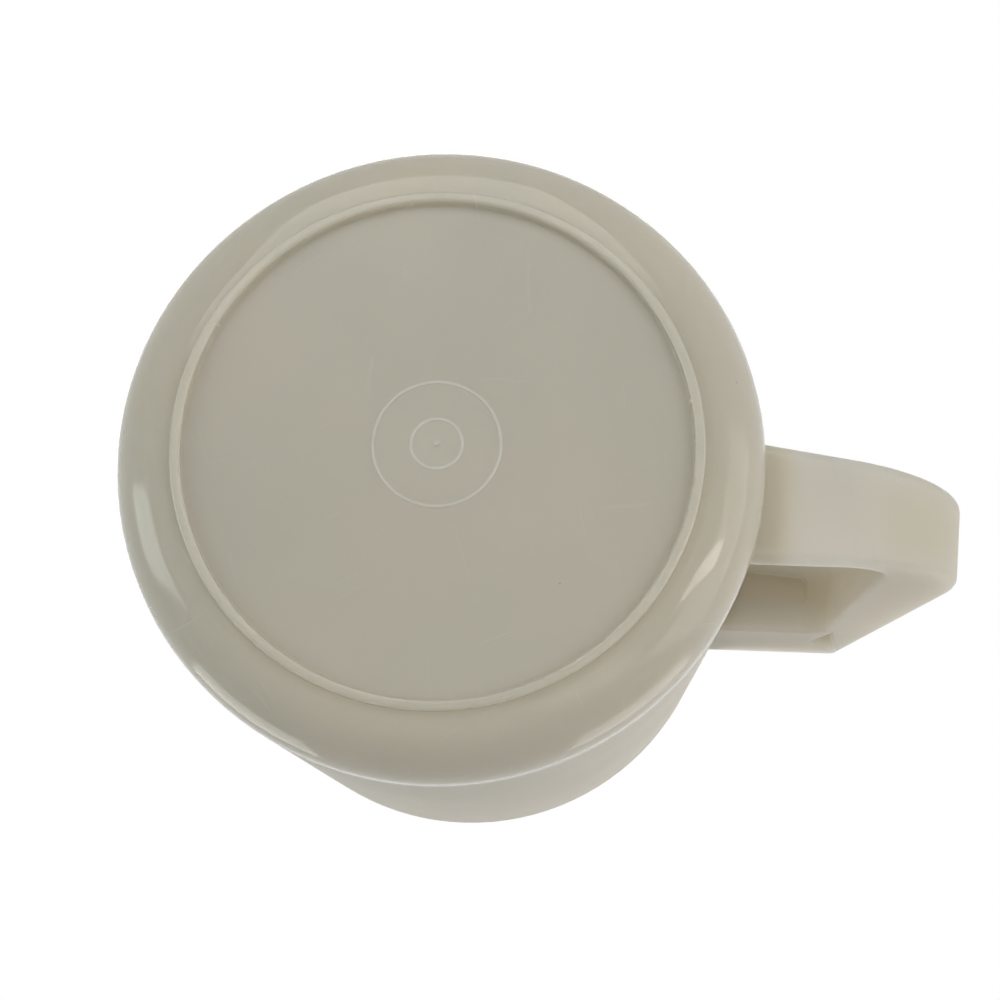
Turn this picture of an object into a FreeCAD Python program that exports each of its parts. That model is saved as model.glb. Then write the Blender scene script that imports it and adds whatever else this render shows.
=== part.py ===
import FreeCAD, Part
import math
import os

from FreeCAD import Vector

# Plastic pitcher, moulded in one piece: a round body on a foot ring, a pouring lip at -X and a closed
# handle at +X.  Millimetres, +Z up.  The origin is on the body's axis, in the plane of the foot ring.

# Body
pitcher_height = 134.0
heel_level = 0.9            # height of the flat part of the base outside the foot ring
heel_width_radius = 57.0    # the wall's line, carried down to the heel level
rim_flare = 2.1             # how much further out the wall's line lies at the rim
wall = 2.0
heel_round = 10.0
inner_heel_round = 8.0
rim_round = 0.7
rim_radius = heel_width_radius + rim_flare

# Base
foot_inset = 12.1           # from the wall's line in to the middle of the foot ring
foot_width = 1.8
foot_round = 0.5
panel_recess = 1.7          # height of the base panel above the foot plane
gate_ring_radii = (11.0, 4.4)
gate_ring_thickness = 0.7
gate_ring_proud = 0.25
gate_pip_radius = 0.9
gate_pip_tip_radius = 0.45
gate_pip_proud = 0.6
foot_radius = heel_width_radius - foot_inset

# Pouring lip
lip_height = 46.0           # how far below the rim the lip starts
lip_reach = 12.0            # how far the nose stands out past the rim
lip_nose_radius = 9.0
lip_blend_radius = 20.0
lip_start_height = pitcher_height - lip_height

# Handle, as seen from the side
finger_gap = 25.4           # from the wall's line out to the grip's inner face
grip_low_depth = 18.0       # from the grip's inner to its outer face, carried down to the lower arm
grip_high_depth = 8.8       # the same at the handle's top
arm_root_height = 19.4      # lower face of the lower arm, at the body
arm_thickness = 4.3
arm_rise = 1.2              # how much the lower arm climbs from the body to the bend
bend_radius = 25.0
handle_drop = 1.0           # how far the handle's top lies below the rim
top_arm_depth = 33.0
handle_corner_round = 2.5
gap_low_round = 9.0
gap_high_round = 5.0
grip_inner_reach = heel_width_radius + finger_gap
grip_low_reach = grip_inner_reach + grip_low_depth
grip_high_reach = grip_inner_reach + grip_high_depth
handle_top_height = pitcher_height - handle_drop
gap_top_height = handle_top_height - top_arm_depth

# Handle, as seen from above
handle_root_width = 22.2    # at the body's wall
handle_taper = 0.14         # width lost for each millimetre outwards
handle_edge_round = 1.0      # along the finger gap
handle_back_round = 2.2      # along the outside
handle_root_round = 0.8

# Hollow in the underside of the handle's top arm
pocket_width = 7.0
pocket_grip_margin = 3.9    # plastic left between the hollow and the grip's inner face
pocket_wall_margin = 1.6    # plastic left between the hollow and the body's wall
pocket_depth = 3.0
pocket_round = 2.2
pocket_end_reach = grip_inner_reach - pocket_grip_margin

# Three-cornered notch in each side of the handle, between the grip and the top arm
notch_fall = 3.0            # how far its lower corner lies below the gap's top
notch_low_offset = 2.1      # how far its lower corner lies outwards of the grip's inner face
notch_rise = 12.6           # how far its middle corner lies above the gap's top
notch_mid_inset = 1.0       # how far the middle corner lies inwards of the grip's inner face
notch_depth = 5.0
notch_low_height = gap_top_height - notch_fall
notch_mid_height = gap_top_height + notch_rise

off_limit = 0.05            # how near a surface an edge has to lie to count as on it


def in_side_plane(across, up):
    """A point of the XZ plane."""
    return Vector(across, 0, up)


def rounded_wire(corners, place):
    """A closed wire through corners (u, v, radius), with a tangent arc at each radius above zero."""
    points = [place(u, v) for u, v, radius in corners]
    count = len(corners)
    ends = []
    for i, (u, v, radius) in enumerate(corners):
        here = points[i]
        back = (points[i - 1] - here).normalize()
        ahead = (points[(i + 1) % count] - here).normalize()
        half_angle = back.getAngle(ahead) / 2
        if radius > 0:
            run = radius / math.tan(half_angle)
            middle = (back + ahead).normalize()
            bulge = here + middle * (radius / math.sin(half_angle) - radius)
            ends.append((here + back * run, bulge, here + ahead * run))
        else:
            ends.append((here, None, here))
    edges = []
    for i, (start, bulge, finish) in enumerate(ends):
        if bulge is not None:
            edges.append(Part.Arc(start, bulge, finish).toShape())
        following = ends[(i + 1) % count][0]
        if finish.distanceToPoint(following) > 1e-6:
            edges.append(Part.LineSegment(finish, following).toShape())
    return Part.Wire(edges)


def wall_radius(height):
    """Radius of the body's outer face at a height."""
    share = (height - heel_level) / (pitcher_height - heel_level)
    return heel_width_radius + (rim_radius - heel_width_radius) * share


def turned(corners):
    """A solid turned round the body's axis from its half outline, with its seam away from the handle."""
    face = Part.Face(rounded_wire(corners, in_side_plane))
    solid = face.revolve(Vector(0, 0, 0), Vector(0, 0, 1), 360)
    solid.rotate(Vector(0, 0, 0), Vector(0, 0, 1), 90)
    return solid


def lip_section(height, radius, inset, open_lip):
    """Outline of the upper body at a height, in four arcs: the round, a blend, the nose, a blend."""
    nose_distance = rim_radius + lip_reach - lip_nose_radius
    blend_distance = rim_radius + lip_blend_radius
    reach_between = lip_nose_radius + lip_blend_radius
    squares = nose_distance ** 2 + blend_distance ** 2 - reach_between ** 2
    round_end = math.pi - math.acos(squares / (2 * nose_distance * blend_distance))
    blend_centre = Vector(math.cos(round_end), math.sin(round_end), 0) * blend_distance
    nose_centre = Vector(-nose_distance, 0, 0)
    nose_side = (blend_centre - nose_centre).normalize()
    nose_end = nose_centre + nose_side * (lip_nose_radius - inset)
    nose_angle = math.atan2(nose_end.y, nose_end.x)

    def on_round(angle):
        return Vector(radius * math.cos(angle), radius * math.sin(angle), 0)

    start = on_round(round_end)
    if open_lip:
        to_start = (start - blend_centre).normalize()
        to_nose = (nose_end - blend_centre).normalize()
        blend_middle = blend_centre + (to_start + to_nose).normalize() * (lip_blend_radius + inset)
        nose_tip = nose_centre - Vector(lip_nose_radius - inset, 0, 0)
    else:
        nose_end = on_round(nose_angle)
        blend_middle = on_round((round_end + nose_angle) / 2)
        nose_tip = on_round(math.pi)

    def mirrored(point):
        return Vector(point.x, -point.y, point.z)

    arcs = [
        (mirrored(start), on_round(0), start),
        (start, blend_middle, nose_end),
        (nose_end, nose_tip, mirrored(nose_end)),
        (mirrored(nose_end), mirrored(blend_middle), mirrored(start)),
    ]
    wire = Part.Wire([Part.Arc(*arc).toShape() for arc in arcs])
    wire.translate(Vector(0, 0, height))
    return wire


def upper_body(inset, top_height):
    """The upper part of the body, from where the lip starts to the rim, drawn in by inset."""
    low = lip_section(lip_start_height, wall_radius(lip_start_height) - inset, inset, False)
    high = lip_section(top_height, rim_radius - inset, inset, True)
    return Part.makeLoft([low, high], True, True)


def outer_body():
    """The body as a full block, with its foot ring and the marks of the mould's gate."""
    foot_in = foot_radius - foot_width / 2
    foot_out = foot_radius + foot_width / 2
    lower = turned([
        (0, panel_recess, 0),
        (foot_in, panel_recess, foot_round),
        (foot_in, 0, foot_round),
        (foot_out, 0, foot_round),
        (foot_out, heel_level, 0),
        (heel_width_radius, heel_level, heel_round),
        (wall_radius(lip_start_height), lip_start_height, 0),
        (0, lip_start_height, 0),
    ])
    body = lower.fuse(upper_body(0, pitcher_height))
    for radius in gate_ring_radii:
        ring_height = panel_recess - gate_ring_proud + gate_ring_thickness / 2
        ring = Part.makeTorus(radius, gate_ring_thickness / 2)
        ring.translate(Vector(0, 0, ring_height))
        body = body.fuse(ring)
    pip = Part.makeCone(gate_pip_tip_radius, gate_pip_radius, gate_pip_proud + wall / 2)
    pip.translate(Vector(0, 0, panel_recess - gate_pip_proud))
    return body.fuse(pip)


def cavity():
    """The space inside the body, open at the rim."""
    floor_height = panel_recess + wall
    lower = turned([
        (0, floor_height, 0),
        (heel_width_radius - wall, floor_height, inner_heel_round),
        (wall_radius(lip_start_height) - wall, lip_start_height, 0),
        (0, lip_start_height, 0),
    ])
    return lower.fuse(upper_body(wall, pitcher_height))


def handle_half_width(reach):
    """Half the handle's width at a distance from the body's axis."""
    return (handle_root_width - handle_taper * (reach - heel_width_radius)) / 2


def tapered_slab(outline, reach_in, reach_out):
    """A side outline given the handle's width, which narrows outwards."""
    half_root = handle_half_width(reach_in)
    half_tip = handle_half_width(reach_out)
    slab = Part.Face(outline).extrude(Vector(0, 2 * half_root, 0))
    slab.translate(Vector(0, -half_root, 0))
    plan = Part.makePolygon([
        Vector(reach_in, -half_root, 0),
        Vector(reach_out, -half_tip, 0),
        Vector(reach_out, half_tip, 0),
        Vector(reach_in, half_root, 0),
        Vector(reach_in, -half_root, 0),
    ])
    plan_block = Part.Face(plan).extrude(Vector(0, 0, pitcher_height))
    return slab.common(plan_block)


def on_handle_side(edge):
    """Whether an edge lies in one of the handle's two side faces."""
    ends = [vertex.Point for vertex in edge.Vertexes]
    ends.append(edge.valueAt((edge.FirstParameter + edge.LastParameter) / 2))
    return all(abs(abs(point.y) - handle_half_width(point.x)) < 1e-4 for point in ends)


def round_the_gap(edge):
    """Whether an edge of the handle's side faces runs round the finger gap."""
    box = edge.BoundBox
    lowest = arm_root_height + arm_thickness - off_limit
    highest = gap_top_height + off_limit
    return box.XMax < grip_inner_reach + off_limit and lowest < box.ZMin and box.ZMax < highest


def handle():
    """The closed handle, its inner end buried in the body's wall."""
    root = heel_width_radius - wall
    gap_root = root + wall / 2
    low_corner = arm_root_height + arm_rise
    outer = rounded_wire([
        (root, arm_root_height, 0),
        (grip_low_reach, low_corner, bend_radius),
        (grip_high_reach, handle_top_height, handle_corner_round),
        (root, handle_top_height, 0),
    ], in_side_plane)
    gap = rounded_wire([
        (gap_root, arm_root_height + arm_thickness, 0),
        (grip_inner_reach, arm_root_height + arm_thickness, gap_low_round),
        (grip_inner_reach, gap_top_height, gap_high_round),
        (gap_root, gap_top_height, 0),
    ], in_side_plane)
    tip = grip_low_reach + wall
    block = tapered_slab(outer, root, tip).cut(tapered_slab(gap, root, tip))
    clear_of_root = gap_root + wall
    side_edges = [edge for edge in block.Edges if on_handle_side(edge) and edge.BoundBox.XMax > clear_of_root]
    back_edges = [edge for edge in side_edges if not round_the_gap(edge)]
    block = block.makeFillet(handle_back_round, back_edges)
    side_edges = [edge for edge in block.Edges if on_handle_side(edge) and edge.BoundBox.XMax > clear_of_root]
    return block.makeFillet(handle_edge_round, [edge for edge in side_edges if round_the_gap(edge)])


def pocket():
    """The hollow that lightens the top arm, open towards the gap."""
    pocket_root = wall_radius(gap_top_height) + pocket_wall_margin
    half = pocket_width / 2

    def in_plan(across, along):
        return Vector(across, along, gap_top_height - pocket_round)

    outline = rounded_wire([
        (pocket_root, -half, pocket_round),
        (pocket_end_reach, -half, pocket_round),
        (pocket_end_reach, half, pocket_round),
        (pocket_root, half, pocket_round),
    ], in_plan)
    return Part.Face(outline).extrude(Vector(0, 0, pocket_depth + pocket_round))


def notch(side):
    """A three-cornered notch in one side face of the handle, deepest at its lower corner."""

    def on_face(reach, height, depth):
        return Vector(reach, side * (handle_half_width(reach) - depth), height)

    low = on_face(grip_inner_reach + notch_low_offset, notch_low_height, 0)
    low_deep = on_face(grip_inner_reach + notch_low_offset, notch_mid_height, notch_depth)
    middle = on_face(grip_inner_reach - notch_mid_inset, notch_mid_height, 0)
    high = on_face(grip_high_reach, handle_top_height, 0)
    sides = ((low, middle, high), (low, middle, low_deep), (low, high, low_deep), (middle, high, low_deep))
    faces = []
    for corners in sides:
        faces.append(Part.Face(Part.makePolygon(list(corners) + [corners[0]])))
    return Part.Solid(Part.Shell(faces))


def at_handle_root(edge):
    """Whether an edge lies where the handle leaves the body's wall."""
    point = edge.valueAt((edge.FirstParameter + edge.LastParameter) / 2)
    off_wall = abs(math.hypot(point.x, point.y) - wall_radius(point.z))
    beside_handle = point.x > 0 and abs(point.y) < handle_half_width(point.x) + off_limit
    return off_wall < off_limit and beside_handle and not at_rim(edge)


def at_rim(edge):
    """Whether an edge lies in the plane of the rim."""
    return edge.BoundBox.ZMin > pitcher_height - 1e-3


def pitcher():
    """The whole pitcher as one solid."""
    body = outer_body().fuse(handle()).removeSplitter()
    body = body.makeFillet(handle_root_round, [edge for edge in body.Edges if at_handle_root(edge)])
    body = body.cut(cavity()).removeSplitter()
    body = body.makeFillet(rim_round, [edge for edge in body.Edges if at_rim(edge)])
    body = body.cut(pocket())
    for side in (-1, 1):
        body = body.cut(notch(side))
    return body


os.makedirs("parts", exist_ok=True)
shape = pitcher()
shape.exportStep("parts/pitcher.step")
print("solids", len(shape.Solids), "valid", shape.isValid(), "volume", round(shape.Volume), shape.BoundBox)
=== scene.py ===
import bpy
from bpy.props import FloatProperty, FloatVectorProperty, PointerProperty
from mathutils import Matrix, Vector


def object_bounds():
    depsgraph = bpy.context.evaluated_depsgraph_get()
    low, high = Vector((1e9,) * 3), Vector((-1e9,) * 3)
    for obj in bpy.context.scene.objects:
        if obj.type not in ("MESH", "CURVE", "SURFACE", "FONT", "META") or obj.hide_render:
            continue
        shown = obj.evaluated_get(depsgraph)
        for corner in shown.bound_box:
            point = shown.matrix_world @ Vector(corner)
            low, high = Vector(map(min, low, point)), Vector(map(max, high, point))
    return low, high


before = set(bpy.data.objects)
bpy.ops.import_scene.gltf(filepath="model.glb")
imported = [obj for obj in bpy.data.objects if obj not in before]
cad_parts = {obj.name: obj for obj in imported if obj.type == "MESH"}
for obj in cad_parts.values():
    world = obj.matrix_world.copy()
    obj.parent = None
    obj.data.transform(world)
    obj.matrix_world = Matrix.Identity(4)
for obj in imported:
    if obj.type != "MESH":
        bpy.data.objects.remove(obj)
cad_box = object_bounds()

bl_info = {
    "name": "Plastic Pitcher",
    "version": (1, 0, 0),
    "blender": (4, 5, 0),
    "location": "View3D > Sidebar > Pitcher",
    "description": "Finishes a one-piece milky plastic pitcher and sets a plain stage round it",
    "category": "Object",
}

# The pitcher stands upright on the floor with its handle towards +X and its pouring lip towards -X.
# The stage's floor can be seen through from below, so that the camera sees the foot from underneath.

BODY = "pitcher"
MILLIMETRE = 0.001

# Where one finish turns into the next: the start and the end of each change.
BASE_EDGE = (2.0 * MILLIMETRE, 2.6 * MILLIMETRE)
RING_EDGE = (0.10 * MILLIMETRE, 0.35 * MILLIMETRE)
INNER_GATE_EDGE = (4.0 * MILLIMETRE, 4.8 * MILLIMETRE)
OUTER_GATE_EDGE = (10.2 * MILLIMETRE, 11.6 * MILLIMETRE)
CREST_EDGE = (0.12 * MILLIMETRE, 0.36 * MILLIMETRE)
SCRATCH_WALL_START = 6.0 * MILLIMETRE
PANEL_FADE = MILLIMETRE
WALL_FADE = 8.0 * MILLIMETRE
HANDLE_FADE = 6.0 * MILLIMETRE

# Patterns: how many to the metre, how large, and how often they come.
CLOUDS_PER_METRE = 22.0
WAVES_PER_METRE = 45.0
PEEL_PER_METRE = 900.0
PATCHES_PER_METRE = 70.0
SPECKS_PER_METRE = 300.0
SPECK_SIZE = 0.08
SPECK_SHARE = 0.05
SCRATCH_RUNS = ((0.5, 95.0, 0.58), (2.0, 80.0, 0.60))    # angle, number to the metre, how sparse
SCRATCH_WIDTH = 0.012
SCRATCH_BEND = 5.0 * MILLIMETRE
SCRATCH_STRETCH = (0.08, 1.0, 1.0)
PATCH_FADE = 0.06
CLOUD_COLOUR_SPREAD = (0.35, 0.65)    # the part of each pattern's range over which it takes effect
CLOUD_GLOSS_SPREAD = (0.3, 0.7)
PEEL_SPREAD = (0.30, 0.60)

# How strongly each mark changes the colour, and to which colour.
# Painted light: the base is paler inside the gate's rings, as if light shone through thin plastic there.
INNER_GATE_GLOW_STRENGTH = 0.22
OUTER_GATE_GLOW_STRENGTH = 0.12
# Painted highlight: a pale line along the gate's two raised rings stands in for the glints on their crests.
CREST_HIGHLIGHT_STRENGTH = 0.6
WORN_STRENGTH = (0.30, 0.60)
SCRATCH_STRENGTH, SCRATCH_COLOUR = 0.35, (0.62, 0.60, 0.55)
PALE_SPECK_STRENGTH, PALE_SPECK_COLOUR = 0.5, (0.66, 0.64, 0.58)
DARK_SPECK_STRENGTH, DARK_SPECK_COLOUR = 0.6, (0.16, 0.13, 0.10)

# How much rougher or smoother each mark is, and how far it stands out or in, in millimetres.
CLOUD_SMOOTHER, CLOUD_ROUGHER = 0.04, 0.05
WORN_ROUGHER = 0.18
CREST_SMOOTHER = 0.7    # a share of how much rougher the base panel is
SCRATCH_ROUGHER = 0.2
WAVE_HEIGHT = 0.10
PEEL_HEIGHT = 0.004
SCRATCH_DEPTH = 0.012

# The plastic itself.
REFRACTION = 1.49
GLOSS = 0.27
SCATTER_TINT = (1.0, 0.94, 0.86)

# The stage.
FLOOR_SHADE = 0.985
FLOOR_CLOUDS_PER_METRE = 3.0
HORIZON = (-0.15, 0.25)    # how steeply up a direction points where daylight starts and is full
UP, ACROSS = (0.0, 0.0, 1.0), (1.0, 0.0, 0.0)
WARM, COOL, PLAIN = (1.0, 0.94, 0.89), (0.93, 1.0, 0.98), (1.0, 0.985, 0.92)
LAMPS = (    # name, place, direction of its length, width, length, level, colour
    ("front_lamp", (-0.08, -0.38, -0.50), UP, 0.35, 0.35, 1.35, PLAIN),
    ("low_lamp", (0.15, 0.25, -0.60), UP, 0.30, 0.30, 0.1, WARM),
    ("right_lamp", (0.85, 0.0, -0.46), UP, 0.80, 0.80, 3.8, PLAIN),
    ("left_lamp", (-0.85, 0.12, -0.40), UP, 0.30, 0.60, 2.8, COOL),
    ("left_back_lamp", (-0.6, 0.7, 0.4), UP, 0.50, 0.50, 2.0, PLAIN),
    ("right_back_lamp", (0.7, 0.6, 0.4), UP, 0.50, 0.50, 1.8, WARM),
    ("over_lamp", (-0.20, -0.45, 1.0), ACROSS, 0.90, 0.90, 2.0, PLAIN),
    ("right_box", (0.585, 0.006, -0.656), UP, 0.09, 0.45, 1.0, WARM),
    ("low_box", (0.25, 0.165, -0.76), UP, 0.11, 0.40, 0.20, WARM),
)


# ---------------------------------------------------------------- settings

class PlasticSettings(bpy.types.PropertyGroup):
    """The look of the milky plastic."""

    colour: FloatVectorProperty(
        name="Plastic", description="Main colour of the plastic",
        subtype="COLOR", size=3, min=0.0, max=1.0, default=(0.58, 0.538, 0.455))
    cloud_colour: FloatVectorProperty(
        name="Clouds", description="Colour of the faint cloudy areas in the plastic",
        subtype="COLOR", size=3, min=0.0, max=1.0, default=(0.55, 0.525, 0.45))
    worn_colour: FloatVectorProperty(
        name="Worn", description="Colour of the foot ring where it has rubbed on tables",
        subtype="COLOR", size=3, min=0.0, max=1.0, default=(0.60, 0.57, 0.48))
    # Painted light: this paler colour inside the gate's rings stands in for light shining through thin
    # plastic.
    gate_glow_colour: FloatVectorProperty(
        name="Gate", description="Colour of the paler plastic inside the gate's rings",
        subtype="COLOR", size=3, min=0.0, max=1.0, default=(0.68, 0.65, 0.56))
    # Painted highlight: this pale colour along the gate's two raised rings stands in for the glints on
    # their crests.
    crest_highlight_colour: FloatVectorProperty(
        name="Crests", description="Colour of the gate's two raised rings, where they have rubbed",
        subtype="COLOR", size=3, min=0.0, max=1.0, default=(0.80, 0.78, 0.70))
    outer_ring_radius: FloatProperty(
        name="Outer Ring", description="Radius of the larger raised ring round the gate",
        unit="LENGTH", min=0.0, default=11.0 * MILLIMETRE)
    inner_ring_radius: FloatProperty(
        name="Inner Ring", description="Radius of the smaller raised ring round the gate",
        unit="LENGTH", min=0.0, default=4.4 * MILLIMETRE)
    roughness: FloatProperty(
        name="Roughness", description="Roughness of the polished heel",
        subtype="FACTOR", min=0.0, max=1.0, default=0.08)
    panel_matt: FloatProperty(
        name="Panel Matt", description="How much rougher the base panel is",
        subtype="FACTOR", min=0.0, max=1.0, default=0.26)
    wall_matt: FloatProperty(
        name="Wall Matt", description="How much rougher the wall and handle are than the polished heel",
        subtype="FACTOR", min=0.0, max=1.0, default=0.42)
    wall_start: FloatProperty(
        name="Wall Start", description="Height at which the polished heel turns into the duller wall",
        unit="LENGTH", min=0.0, default=9.0 * MILLIMETRE)
    panel_radius: FloatProperty(
        name="Panel Radius", description="Radius of the matt base panel inside the foot ring",
        unit="LENGTH", min=0.0, default=43.5 * MILLIMETRE)
    milkiness: FloatProperty(
        name="Milkiness", description="How much of the light goes into the plastic and scatters there",
        subtype="FACTOR", min=0.0, max=1.0, default=1.0)
    scatter_depth: FloatProperty(
        name="Scatter Depth", description="How far light travels inside the plastic",
        unit="LENGTH", min=0.0, default=12.0 * MILLIMETRE)
    handle_depth: FloatProperty(
        name="Handle Depth", description="How far light travels inside the handle",
        unit="LENGTH", min=0.0, default=40.0 * MILLIMETRE)
    handle_start: FloatProperty(
        name="Handle Start", description="How far from the body's middle the handle begins",
        unit="LENGTH", min=0.0, default=60.0 * MILLIMETRE)


class CameraSettings(bpy.types.PropertyGroup):
    """Where the camera stands, and its lens."""

    place: FloatVectorProperty(
        name="Place", description="Where the camera stands",
        subtype="TRANSLATION", size=3, default=(0.02671, 0.07032, -0.26193))
    turn: FloatVectorProperty(
        name="Turn", description="How the camera is turned",
        subtype="EULER", size=3, default=(-2.907783, -0.030573, -0.109083))
    lens: FloatProperty(
        name="Lens", description="Focal length",
        unit="CAMERA", min=1.0, default=57.6)


class StageSettings(bpy.types.PropertyGroup):
    """The floor and the light."""

    floor_size: FloatProperty(
        name="Floor Size", description="Length of the floor's sides",
        unit="LENGTH", min=1.0, default=6.0)
    floor_colour: FloatVectorProperty(
        name="Floor", description="Colour of the floor",
        subtype="COLOR", size=3, min=0.0, max=1.0, default=(0.90, 0.90, 0.89))
    daylight: FloatVectorProperty(
        name="Daylight", description="Colour of the light that comes from all round",
        subtype="COLOR", size=3, min=0.0, max=1.0, default=(1.0, 0.99, 0.97))
    daylight_level: FloatProperty(
        name="Daylight Level", description="Strength of the light from above the floor",
        min=0.0, default=0.47)
    low_level: FloatProperty(
        name="Low Level", description="Strength of the light from below the floor",
        min=0.0, default=0.05)


class PitcherSettings(bpy.types.PropertyGroup):
    """All the settings of the pitcher and its stage."""

    plastic: PointerProperty(type=PlasticSettings)
    camera: PointerProperty(type=CameraSettings)
    stage: PointerProperty(type=StageSettings)


# ---------------------------------------------------------------- node helpers

def set_inputs(tree, node, values):
    """Set or link a node's inputs, by name or number."""
    for socket, value in values.items():
        if isinstance(value, bpy.types.NodeSocket):
            tree.links.new(value, node.inputs[socket])
        else:
            node.inputs[socket].default_value = value


def add_node(tree, kind, values=None, **choices):
    """A node of a kind, with its choices made and its inputs set or linked."""
    node = tree.nodes.new(kind)
    for choice, value in choices.items():
        setattr(node, choice, value)
    set_inputs(tree, node, values or {})
    return node


def reckon(tree, operation, first, second=0.0):
    """The result of a sum on one or two values."""
    return add_node(tree, "ShaderNodeMath", {0: first, 1: second}, operation=operation).outputs[0]


def ramp_between(tree, value, low, high, at_low=0.0, at_high=1.0):
    """A value carried smoothly from at_low to at_high as it goes from low to high."""
    ranged = add_node(
        tree, "ShaderNodeMapRange",
        {"Value": value, "From Min": low, "From Max": high, "To Min": at_low, "To Max": at_high},
        interpolation_type="SMOOTHSTEP")
    return ranged.outputs["Result"]


def noise(tree, place, per_metre, detail):
    """A cloudy pattern between 0 and 1."""
    return add_node(
        tree, "ShaderNodeTexNoise", {"Vector": place, "Scale": per_metre, "Detail": detail}).outputs[0]


def blend_colour(tree, mask, colour, other):
    """The first colour where the mask is 0 and the other where it is 1."""
    mix = add_node(tree, "ShaderNodeMix", data_type="RGBA")
    ends = [end if isinstance(end, bpy.types.NodeSocket) else (*end, 1.0) for end in (colour, other)]
    set_inputs(tree, mix, {0: mask, 6: ends[0], 7: ends[1]})    # the node's colour inputs are 6 and 7
    return mix.outputs[2]


def highest(tree, masks):
    """The highest of several masks at each point."""
    top = masks[0]
    for mask in masks[1:]:
        top = reckon(tree, "MAXIMUM", top, mask)
    return top


def new_group(name, inputs, outputs):
    """An empty shader node group with its named sockets, and its two end nodes."""
    tree = bpy.data.node_groups.new(name, "ShaderNodeTree")
    for socket, kind, default in inputs:
        made = tree.interface.new_socket(name=socket, in_out="INPUT", socket_type=kind)
        if default is not None:
            made.default_value = default
    for socket in outputs:
        tree.interface.new_socket(name=socket, in_out="OUTPUT", socket_type="NodeSocketFloat")
    return tree, tree.nodes.new("NodeGroupInput"), tree.nodes.new("NodeGroupOutput")


def place_group(tree, group, values):
    """A copy of a node group in a material, with its inputs set or linked."""
    return add_node(tree, "ShaderNodeGroup", values, node_tree=group)


def unrolled_group():
    """Flat coordinates that lie along the surface: the plan on the base, and round and up on the wall."""
    tree, given, result = new_group(
        "unrolled",
        [("Vector", "NodeSocketVector", None), ("Wall Radius", "NodeSocketFloat", 0.05),
         ("Wall Start", "NodeSocketFloat", 0.005)],
        ["X", "Y"])
    parts = add_node(tree, "ShaderNodeSeparateXYZ", {0: given.outputs["Vector"]}).outputs
    angle = reckon(tree, "ARCTAN2", parts["Y"], parts["X"])
    round_the_wall = reckon(tree, "MULTIPLY", angle, given.outputs["Wall Radius"])
    on_wall = reckon(tree, "GREATER_THAN", parts["Z"], given.outputs["Wall Start"])
    for name, on_base, beside in (("X", parts["X"], round_the_wall), ("Y", parts["Y"], parts["Z"])):
        mix = add_node(tree, "ShaderNodeMix", {0: on_wall, 2: on_base, 3: beside}, data_type="FLOAT")
        tree.links.new(mix.outputs[0], result.inputs[name])
    return tree


def scratch_group():
    """Sparse fine scratches that run one way over flat coordinates."""
    tree, given, result = new_group(
        "fine_scratches",
        [("X", "NodeSocketFloat", 0.0), ("Y", "NodeSocketFloat", 0.0), ("Angle", "NodeSocketFloat", 0.0),
         ("Per Metre", "NodeSocketFloat", 90.0), ("Width", "NodeSocketFloat", 0.02),
         ("Sparse", "NodeSocketFloat", 0.6)],
        ["Mask"])
    flat = add_node(tree, "ShaderNodeCombineXYZ", {0: given.outputs["X"], 1: given.outputs["Y"]}).outputs[0]
    turned = add_node(
        tree, "ShaderNodeVectorRotate", {"Vector": flat, "Angle": given.outputs["Angle"]},
        rotation_type="Z_AXIS").outputs[0]
    patches = add_node(
        tree, "ShaderNodeTexNoise", {"Vector": turned, "Scale": PATCHES_PER_METRE, "Detail": 1.0},
        noise_dimensions="2D")
    stray = add_node(
        tree, "ShaderNodeVectorMath", {0: patches.outputs["Color"], "Scale": SCRATCH_BEND},
        operation="SCALE")
    bent = add_node(tree, "ShaderNodeVectorMath", {0: turned, 1: stray.outputs[0]}, operation="ADD")
    stretched = add_node(
        tree, "ShaderNodeVectorMath", {0: bent.outputs[0], 1: SCRATCH_STRETCH}, operation="MULTIPLY")
    lines = add_node(
        tree, "ShaderNodeTexVoronoi",
        {"Vector": stretched.outputs[0], "Scale": given.outputs["Per Metre"]},
        voronoi_dimensions="2D", feature="DISTANCE_TO_EDGE")
    line = add_node(
        tree, "ShaderNodeMapRange",
        {"Value": lines.outputs["Distance"], "From Min": 0.0, "From Max": given.outputs["Width"],
         "To Min": 1.0, "To Max": 0.0})
    kept = add_node(
        tree, "ShaderNodeMapRange",
        {"Value": patches.outputs["Fac"], "From Min": given.outputs["Sparse"],
         "From Max": reckon(tree, "ADD", given.outputs["Sparse"], PATCH_FADE)})
    tree.links.new(reckon(tree, "MULTIPLY", line.outputs[0], kept.outputs[0]), result.inputs["Mask"])
    return tree


def speck_group():
    """Small dark and pale specks, such as dust or flecks in the plastic, each in a share of the cells."""
    tree, given, result = new_group(
        "specks",
        [("Vector", "NodeSocketVector", None), ("Per Metre", "NodeSocketFloat", 300.0),
         ("Size", "NodeSocketFloat", 0.1), ("Share", "NodeSocketFloat", 0.05)],
        ["Dark", "Pale"])
    cells = add_node(
        tree, "ShaderNodeTexVoronoi",
        {"Vector": given.outputs["Vector"], "Scale": given.outputs["Per Metre"]})
    dot = add_node(
        tree, "ShaderNodeMapRange",
        {"Value": cells.outputs["Distance"], "From Min": 0.0, "From Max": given.outputs["Size"],
         "To Min": 1.0, "To Max": 0.0},
        interpolation_type="SMOOTHSTEP").outputs[0]
    chances = add_node(tree, "ShaderNodeSeparateColor", {"Color": cells.outputs["Color"]}).outputs
    for name, chance in (("Dark", chances[0]), ("Pale", chances[1])):
        chosen = reckon(tree, "LESS_THAN", chance, given.outputs["Share"])
        tree.links.new(reckon(tree, "MULTIPLY", dot, chosen), result.inputs[name])
    return tree


# ---------------------------------------------------------------- materials

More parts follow.
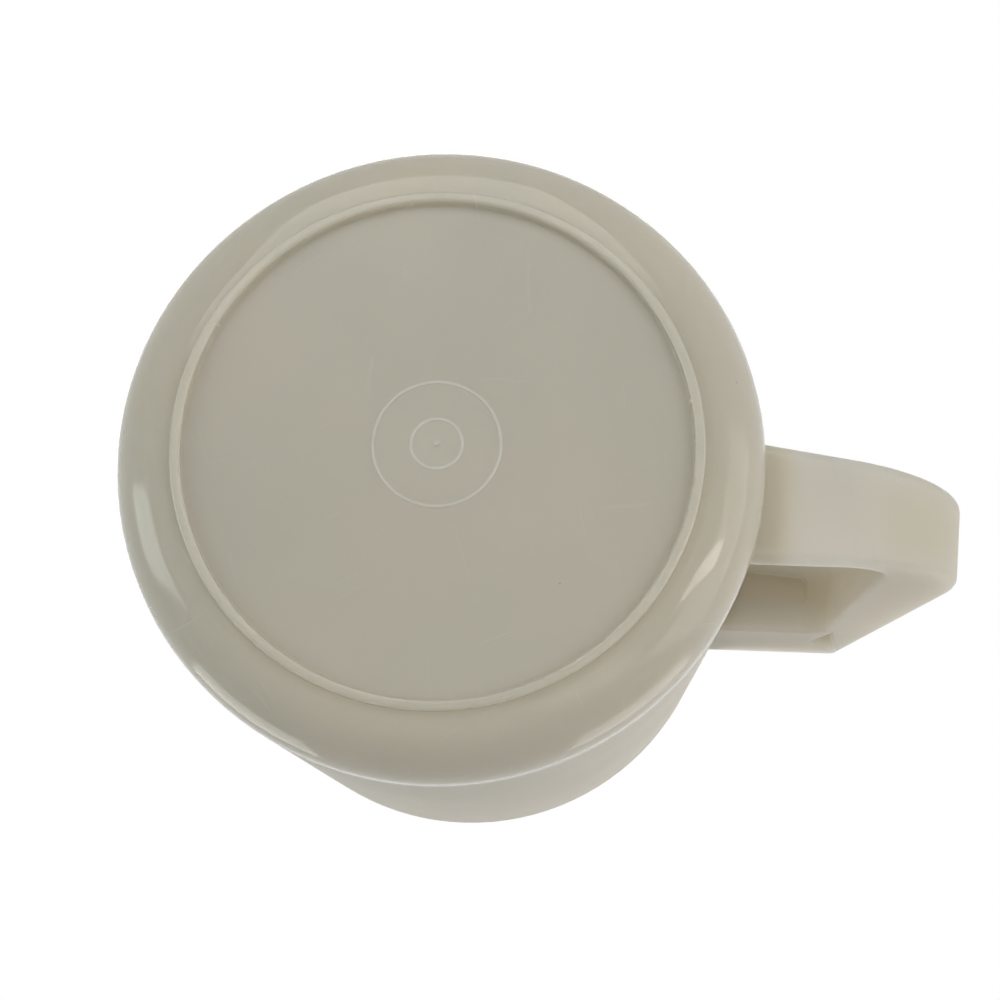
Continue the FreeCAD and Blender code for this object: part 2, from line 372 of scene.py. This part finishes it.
def scratch_marks(tree, place):
    """Fine scratches that run several ways over the surface."""
    skin = place_group(tree, unrolled_group(), {"Vector": place, "Wall Start": SCRATCH_WALL_START}).outputs
    scratches = scratch_group()
    return highest(tree, [
        place_group(tree, scratches, {
            "X": skin["X"], "Y": skin["Y"], "Angle": angle, "Per Metre": per_metre,
            "Width": SCRATCH_WIDTH, "Sparse": sparse}).outputs["Mask"]
        for angle, per_metre, sparse in SCRATCH_RUNS])


def surface_masks(tree, look):
    """Where each finish and each kind of mark lies on the pitcher, by name."""
    place = add_node(tree, "ShaderNodeTexCoord").outputs["Object"]
    parts = add_node(tree, "ShaderNodeSeparateXYZ", {0: place}).outputs
    height = parts["Z"]
    flat = add_node(tree, "ShaderNodeCombineXYZ", {0: parts["X"], 1: parts["Y"]}).outputs[0]
    from_axis = add_node(tree, "ShaderNodeVectorMath", {0: flat}, operation="LENGTH").outputs["Value"]
    below = ramp_between(tree, height, *BASE_EDGE, 1.0, 0.0)
    inside_ring = ramp_between(
        tree, from_axis, look.panel_radius, look.panel_radius + PANEL_FADE, 1.0, 0.0)

    clouds = noise(tree, place, CLOUDS_PER_METRE, 3.0)
    waves = noise(tree, place, WAVES_PER_METRE, 1.0)
    peel = noise(tree, place, PEEL_PER_METRE, 2.0)
    specks = place_group(tree, speck_group(), {
        "Vector": place, "Per Metre": SPECKS_PER_METRE, "Size": SPECK_SIZE, "Share": SPECK_SHARE}).outputs

    rubbed = ramp_between(tree, peel, *PEEL_SPREAD, *WORN_STRENGTH)
    # Painted light, paler towards the gate's middle, strongest inside the inner ring.
    inner = ramp_between(tree, from_axis, *INNER_GATE_EDGE, INNER_GATE_GLOW_STRENGTH, 0.0)
    outer = ramp_between(tree, from_axis, *OUTER_GATE_EDGE, OUTER_GATE_GLOW_STRENGTH, 0.0)
    off_crests = [
        reckon(tree, "ABSOLUTE", reckon(tree, "SUBTRACT", from_axis, radius))
        for radius in (look.outer_ring_radius, look.inner_ring_radius)]
    crests = highest(tree, [ramp_between(tree, off, *CREST_EDGE, 1.0, 0.0) for off in off_crests])
    return {
        "panel": reckon(tree, "MULTIPLY", below, inside_ring),
        "wall": ramp_between(tree, height, look.wall_start, look.wall_start + WALL_FADE),
        "handle": ramp_between(
            tree, parts["X"], look.handle_start, look.handle_start + HANDLE_FADE),
        "clouds": clouds,
        "waves": waves,
        "peel": peel,
        "scratches": scratch_marks(tree, place),
        "dark specks": specks["Dark"],
        "pale specks": specks["Pale"],
        "worn": reckon(tree, "MULTIPLY", ramp_between(tree, height, *RING_EDGE, 1.0, 0.0), rubbed),
        "gate": reckon(tree, "MULTIPLY", below, reckon(tree, "ADD", inner, outer)),
        "crests": reckon(tree, "MULTIPLY", crests, below),
    }


def plastic_colour(tree, look, masks):
    """The plastic's colour, with its clouds, painted light inside the gate's rings, a painted highlight on
    the rings' crests, its rubbed foot ring, its scratches and its specks.
    """
    cloud_mask = ramp_between(tree, masks["clouds"], *CLOUD_COLOUR_SPREAD)
    colour = blend_colour(tree, cloud_mask, look.colour, look.cloud_colour)
    for name, strength, other in (
            # Painted light inside the gate's rings.
            ("gate", 1.0, look.gate_glow_colour),
            # Painted highlight along the crests of the gate's raised rings.
            ("crests", CREST_HIGHLIGHT_STRENGTH, look.crest_highlight_colour),
            ("worn", 1.0, look.worn_colour),
            ("scratches", SCRATCH_STRENGTH, SCRATCH_COLOUR),
            ("pale specks", PALE_SPECK_STRENGTH, PALE_SPECK_COLOUR),
            ("dark specks", DARK_SPECK_STRENGTH, DARK_SPECK_COLOUR)):
        mask = reckon(tree, "MULTIPLY", masks[name], strength)
        colour = blend_colour(tree, mask, colour, other)
    return colour


def plastic_roughness(tree, look, masks):
    """A polished heel, with a duller base panel, wall and handle."""
    roughness = ramp_between(
        tree, masks["clouds"], *CLOUD_GLOSS_SPREAD,
        look.roughness - CLOUD_SMOOTHER, look.roughness + CLOUD_ROUGHER)
    for name, rougher in (
            ("panel", look.panel_matt), ("wall", look.wall_matt), ("worn", WORN_ROUGHER),
            ("crests", -CREST_SMOOTHER * look.panel_matt), ("scratches", SCRATCH_ROUGHER)):
        roughness = reckon(tree, "ADD", roughness, reckon(tree, "MULTIPLY", masks[name], rougher))
    return roughness


def plastic_relief(tree, masks):
    """Slow waves, a fine peel and shallow scratches in the surface."""
    depth = reckon(tree, "MULTIPLY", masks["waves"], WAVE_HEIGHT)
    depth = reckon(tree, "ADD", depth, reckon(tree, "MULTIPLY", masks["peel"], PEEL_HEIGHT))
    depth = reckon(tree, "SUBTRACT", depth, reckon(tree, "MULTIPLY", masks["scratches"], SCRATCH_DEPTH))
    bump = add_node(tree, "ShaderNodeBump", {"Strength": 1.0, "Distance": MILLIMETRE, "Height": depth})
    return bump.outputs[0]


def plastic_material(look):
    """Milky plastic with faint clouds, specks and scratches, rubbed paler on the foot ring."""
    material = bpy.data.materials.new("milky_plastic")
    material.use_nodes = True
    tree = material.node_tree
    tree.nodes.clear()
    masks = surface_masks(tree, look)
    travel = add_node(
        tree, "ShaderNodeMapRange",
        {"Value": masks["handle"], "To Min": look.scatter_depth, "To Max": look.handle_depth}).outputs[0]
    shader = add_node(tree, "ShaderNodeBsdfPrincipled", {
        "Base Color": plastic_colour(tree, look, masks),
        "Roughness": plastic_roughness(tree, look, masks),
        "IOR": REFRACTION,
        "Specular IOR Level": GLOSS,
        "Subsurface Weight": look.milkiness,
        "Subsurface Scale": travel,
        "Subsurface Radius": SCATTER_TINT,
        "Normal": plastic_relief(tree, masks)})
    output = add_node(tree, "ShaderNodeOutputMaterial")
    tree.links.new(shader.outputs[0], output.inputs["Surface"])
    return material


def floor_material(stage):
    """A pale floor that the camera sees from above, and looks through from below."""
    material = bpy.data.materials.new("pale_floor")
    material.use_nodes = True
    tree = material.node_tree
    tree.nodes.clear()
    place = add_node(tree, "ShaderNodeTexCoord").outputs["Object"]
    tone = noise(tree, place, FLOOR_CLOUDS_PER_METRE, 3.0)
    shade = [part * FLOOR_SHADE for part in stage.floor_colour]
    colour = blend_colour(tree, tone, stage.floor_colour, shade)
    pale = add_node(tree, "ShaderNodeBsdfDiffuse", {"Color": colour})
    clear = add_node(tree, "ShaderNodeBsdfTransparent")
    from_below = add_node(tree, "ShaderNodeNewGeometry").outputs["Backfacing"]
    seen = add_node(tree, "ShaderNodeLightPath").outputs["Is Camera Ray"]
    shown = reckon(tree, "MULTIPLY", seen, reckon(tree, "SUBTRACT", 1.0, from_below))
    mix = add_node(tree, "ShaderNodeMixShader", {0: shown, 1: clear.outputs[0], 2: pale.outputs[0]})
    output = add_node(tree, "ShaderNodeOutputMaterial")
    tree.links.new(mix.outputs[0], output.inputs["Surface"])
    return material


# ---------------------------------------------------------------- stage

def pale_world(stage):
    """Soft daylight, mostly from above, with a white background for the camera and for reflections."""
    world = bpy.data.worlds.new("daylight")
    world.use_nodes = True
    tree = world.node_tree
    tree.nodes.clear()
    direction = add_node(tree, "ShaderNodeTexCoord").outputs["Generated"]
    upward = add_node(tree, "ShaderNodeSeparateXYZ", {0: direction}).outputs["Z"]
    level = ramp_between(tree, upward, *HORIZON, stage.low_level, stage.daylight_level)
    light = add_node(tree, "ShaderNodeBackground", {"Color": (*stage.daylight, 1.0), "Strength": level})
    white = add_node(tree, "ShaderNodeBackground", {"Color": (1.0, 1.0, 1.0, 1.0), "Strength": 1.0})
    path = add_node(tree, "ShaderNodeLightPath")
    seen = path.outputs["Is Camera Ray"]
    for kind in ("Is Glossy Ray", "Is Transmission Ray"):
        seen = reckon(tree, "MAXIMUM", seen, path.outputs[kind])
    mix = add_node(tree, "ShaderNodeMixShader", {0: seen, 1: light.outputs[0], 2: white.outputs[0]})
    output = add_node(tree, "ShaderNodeOutputWorld")
    tree.links.new(mix.outputs[0], output.inputs["Surface"])
    bpy.context.scene.world = world


def soft_lamp(name, place, aim, along, width, length, level, colour):
    """A soft rectangular lamp at a place, turned to its aim, with its length lying along a direction."""
    place, aim, along = Vector(place), Vector(aim), Vector(along)
    back = (place - aim).normalized()
    side = along.cross(back).normalized()
    light = bpy.data.lights.new(name, "AREA")
    light.shape = "RECTANGLE"
    light.size = width
    light.size_y = length
    light.energy = level
    light.color = colour
    lamp = bpy.data.objects.new(name, light)
    lamp.matrix_world = Matrix((side, back.cross(side), back)).transposed().to_4x4()
    lamp.location = place
    lamp.visible_camera = False
    bpy.context.scene.collection.objects.link(lamp)


def hang_lamps():
    """Soft lamps all round, and two soft boxes low on the right, each turned to the pitcher's middle."""
    middle = sum((Vector(corner) for corner in cad_box), Vector()) / 2
    for name, place, along, width, length, level, colour in LAMPS:
        soft_lamp(name, place, middle, along, width, length, level, colour)


# ---------------------------------------------------------------- operators

class FinishPlastic(bpy.types.Operator):
    """Give the pitcher its milky plastic."""

    bl_idname = "pitcher.finish_plastic"
    bl_label = "Finish Plastic"

    def execute(self, context):
        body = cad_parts.get(BODY)
        if body is None:
            raise RuntimeError("the frame has no pitcher")
        look = context.scene.pitcher.plastic
        material = plastic_material(look)
        for slot in body.material_slots:
            slot.material = material
        return {"FINISHED"}


class SetStage(bpy.types.Operator):
    """Lay the floor and hang the lamps."""

    bl_idname = "pitcher.set_stage"
    bl_label = "Set Stage"

    def execute(self, context):
        stage = context.scene.pitcher.stage
        context.scene.view_settings.view_transform = "Standard"
        half = stage.floor_size / 2
        mesh = bpy.data.meshes.new("floor")
        corners = [(-half, -half, 0), (half, -half, 0), (half, half, 0), (-half, half, 0)]
        mesh.from_pydata(corners, [], [(0, 1, 2, 3)])
        mesh.materials.append(floor_material(stage))
        floor = bpy.data.objects.new("floor", mesh)
        context.scene.collection.objects.link(floor)
        pale_world(stage)
        hang_lamps()
        return {"FINISHED"}


class SetCamera(bpy.types.Operator):
    """Place the camera below the foot, looking up."""

    bl_idname = "pitcher.set_camera"
    bl_label = "Set Camera"

    def execute(self, context):
        settings = context.scene.pitcher.camera
        data = bpy.data.cameras.new("camera")
        data.lens = settings.lens
        data.clip_start = MILLIMETRE
        camera = bpy.data.objects.new("camera", data)
        camera.location = settings.place
        camera.rotation_euler = settings.turn
        context.scene.collection.objects.link(camera)
        context.scene.camera = camera
        return {"FINISHED"}


class PitcherPanel(bpy.types.Panel):
    """Lists the settings and the steps."""

    bl_idname = "VIEW3D_PT_pitcher"
    bl_label = "Plastic Pitcher"
    bl_space_type = "VIEW_3D"
    bl_region_type = "UI"
    bl_category = "Pitcher"

    def draw(self, context):
        settings = context.scene.pitcher
        for operator, group in STEPS:
            column = self.layout.column()
            for setting in type(group(settings)).__annotations__:
                column.prop(group(settings), setting)
            column.operator(operator.bl_idname)


STEPS = (
    (FinishPlastic, lambda settings: settings.plastic),
    (SetStage, lambda settings: settings.stage),
    (SetCamera, lambda settings: settings.camera),
)

CLASSES = (
    PlasticSettings, CameraSettings, StageSettings, PitcherSettings,
    FinishPlastic, SetStage, SetCamera, PitcherPanel,
)


def register():
    """Add the settings, the operators and the panel."""
    for one in CLASSES:
        bpy.utils.register_class(one)
    bpy.types.Scene.pitcher = PointerProperty(type=PitcherSettings)


def unregister():
    """Take them away again."""
    del bpy.types.Scene.pitcher
    for one in reversed(CLASSES):
        bpy.utils.unregister_class(one)


def main():
    """Make the pitcher and its stage."""
    register()
    bpy.ops.pitcher.finish_plastic()
    bpy.ops.pitcher.set_stage()
    bpy.ops.pitcher.set_camera()


if __name__ == "__main__":
    main()
